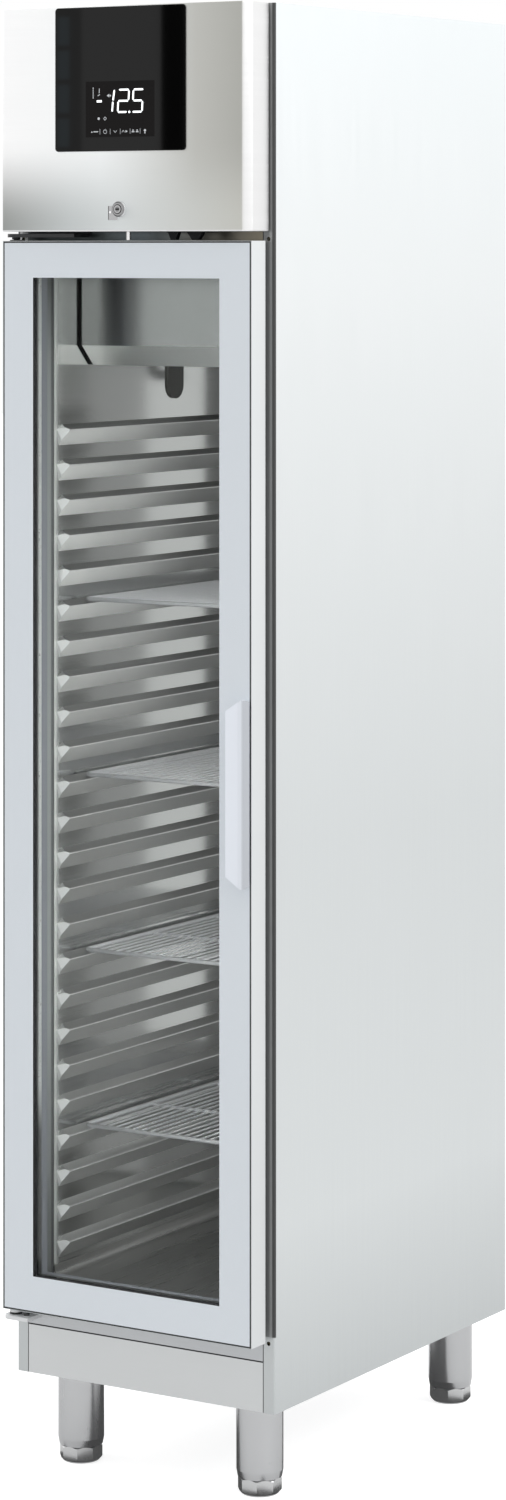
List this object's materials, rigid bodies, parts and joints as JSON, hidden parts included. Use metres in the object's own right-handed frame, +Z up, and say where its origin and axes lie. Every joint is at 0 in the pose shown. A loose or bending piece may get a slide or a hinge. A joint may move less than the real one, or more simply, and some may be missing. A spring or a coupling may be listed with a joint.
{
  "type": "glass door refrigerator",
  "caption": "Tall narrow upright refrigerator with a framed glass door, wire shelves on wall runners, a control panel with the cooling unit above, and levelling legs.",
  "frame": {"origin": "on the floor under the middle of the object's outline, legs standing on z = 0", "axes": "+Z up, +X to the right of a person facing the door, +Y from the door to the back"},
  "size_m": [0.432, 0.738, 2.078],
  "materials": {
    "side_panel_steel": "smooth light grey coated sheet",
    "front_steel": "fine brushed satin",
    "liner_steel": "bright satin sheet",
    "galvanised": "plain zinc coated sheet",
    "white_aluminium": "satin anodised",
    "glass": "clear with a printed light border",
    "panel_glass": "gloss black",
    "grey_plastic": "smooth satin",
    "light_plastic": "milky diffuser",
    "black_plastic": "matt moulded",
    "gasket_rubber": "soft matt",
    "foam": "rigid cellular foam",
    "copper": "bare copper tube",
    "fins": "thin bright fins",
    "shell_paint": "black enamel",
    "chrome": "polished plating",
    "zinc_wire": "bright wire",
    "leg_steel": "satin turned tube",
    "hinge_steel": "light coated steel",
    "hinge_black": "black coated steel",
    "screw_steel": "plain"
  },
  "bodies": {
    "cabinet": {"left_side_panel": "side_panel_steel", "right_side_panel": "side_panel_steel", "back_panel": "galvanised", "rear_grille": "galvanised", "top_cover": "side_panel_steel", "base_panel": "galvanised", "plinth_front": "front_steel", "face_frame": "front_steel", "breaker_frame": "grey_plastic", "insulation_foam": "foam", "machine_deck": "galvanised", "liner_left": "liner_steel", "liner_right": "liner_steel", "liner_back": "liner_steel", "liner_floor": "liner_steel", "runners": "liner_steel", "led_strip": "light_plastic", "air_probe_cover": "black_plastic", "evaporator_cover": "liner_steel", "evaporator_coil": "fins", "evaporator_fan_motor": "shell_paint", "drain_pipe": "black_plastic", "condensate_tray": "black_plastic", "compressor": "shell_paint", "condenser_coil": "fins", "condenser_shroud": "galvanised", "condenser_fan_motor": "shell_paint", "refrigerant_pipes": "copper", "control_box": "black_plastic", "control_panel": "front_steel", "display_glass": "panel_glass", "controller_module": "black_plastic", "door_sensor": "black_plastic", "lock_housing": "chrome", "upper_hinge": "hinge_black", "lower_hinge": "hinge_steel", "hinge_screws": "screw_steel", "legs": "leg_steel"},
    "door": {"hinge_bushes": "black_plastic", "outer_glass": "glass", "inner_glass": "glass", "glass_spacer": "black_plastic", "glazing_bead": "white_aluminium", "door_frame": "white_aluminium", "door_inner_frame": "grey_plastic", "door_gasket": "gasket_rubber", "handle": "white_aluminium", "handle_screws": "screw_steel"},
    "lock_barrel": {"lock_barrel": "chrome"},
    "lock_bolt": {"lock_bolt": "chrome"},
    "evaporator_fan": {"evaporator_fan": "black_plastic"},
    "condenser_fan": {"condenser_fan": "black_plastic"},
    "foot_front_left": {"foot_front_left": "leg_steel"},
    "foot_front_right": {"foot_front_right": "leg_steel"},
    "foot_rear_left": {"foot_rear_left": "leg_steel"},
    "foot_rear_right": {"foot_rear_right": "leg_steel"},
    "shelf_1": {"shelf_1": "zinc_wire"},
    "shelf_2": {"shelf_2": "zinc_wire"},
    "shelf_3": {"shelf_3": "zinc_wire"},
    "shelf_4": {"shelf_4": "zinc_wire"}
  },
  "joints": [
    {"name": "door_hinge", "type": "hinge", "parent": "cabinet", "child": "door", "pos_m": [-0.197, -0.328, 0.991], "axis": [0, 0, -1], "range_deg": [0, 105]},
    {"name": "lock_turn", "type": "hinge", "parent": "cabinet", "child": "lock_barrel", "pos_m": [0, -0.3565, 1.794], "axis": [0, 1, 0], "range_deg": [0, 90]},
    {"name": "lock_bolt_slide", "type": "slide", "parent": "cabinet", "child": "lock_bolt", "axis": [0, 0, -1], "range_m": [0, 0.01]},
    {"name": "evaporator_fan_spin", "type": "hinge", "parent": "cabinet", "child": "evaporator_fan", "pos_m": [0, -0.092, 1.593], "axis": [0, 0, 1], "continuous": true},
    {"name": "condenser_fan_spin", "type": "hinge", "parent": "cabinet", "child": "condenser_fan", "pos_m": [0.07, -0.185, 1.907], "axis": [0, 1, 0], "continuous": true},
    {"name": "foot_front_left_turn", "type": "hinge", "parent": "cabinet", "child": "foot_front_left", "pos_m": [-0.151, -0.231, 0.033], "axis": [0, 0, 1], "continuous": true},
    {"name": "foot_front_right_turn", "type": "hinge", "parent": "cabinet", "child": "foot_front_right", "pos_m": [0.151, -0.231, 0.033], "axis": [0, 0, 1], "continuous": true},
    {"name": "foot_rear_left_turn", "type": "hinge", "parent": "cabinet", "child": "foot_rear_left", "pos_m": [-0.151, 0.315, 0.033], "axis": [0, 0, 1], "continuous": true},
    {"name": "foot_rear_right_turn", "type": "hinge", "parent": "cabinet", "child": "foot_rear_right", "pos_m": [0.151, 0.315, 0.033], "axis": [0, 0, 1], "continuous": true},
    {"name": "shelf_1_slide", "type": "slide", "parent": "cabinet", "child": "shelf_1", "axis": [0, -1, 0], "range_m": [0, 0.08]},
    {"name": "shelf_2_slide", "type": "slide", "parent": "cabinet", "child": "shelf_2", "axis": [0, -1, 0], "range_m": [0, 0.08]},
    {"name": "shelf_3_slide", "type": "slide", "parent": "cabinet", "child": "shelf_3", "axis": [0, -1, 0], "range_m": [0, 0.08]},
    {"name": "shelf_4_slide", "type": "slide", "parent": "cabinet", "child": "shelf_4", "axis": [0, -1, 0], "range_m": [0, 0.08]}
  ],
  "couplings": [
    {"joint": "lock_turn", "follows": "lock_bolt_slide", "rad_per_m": 157.08}
  ]
}
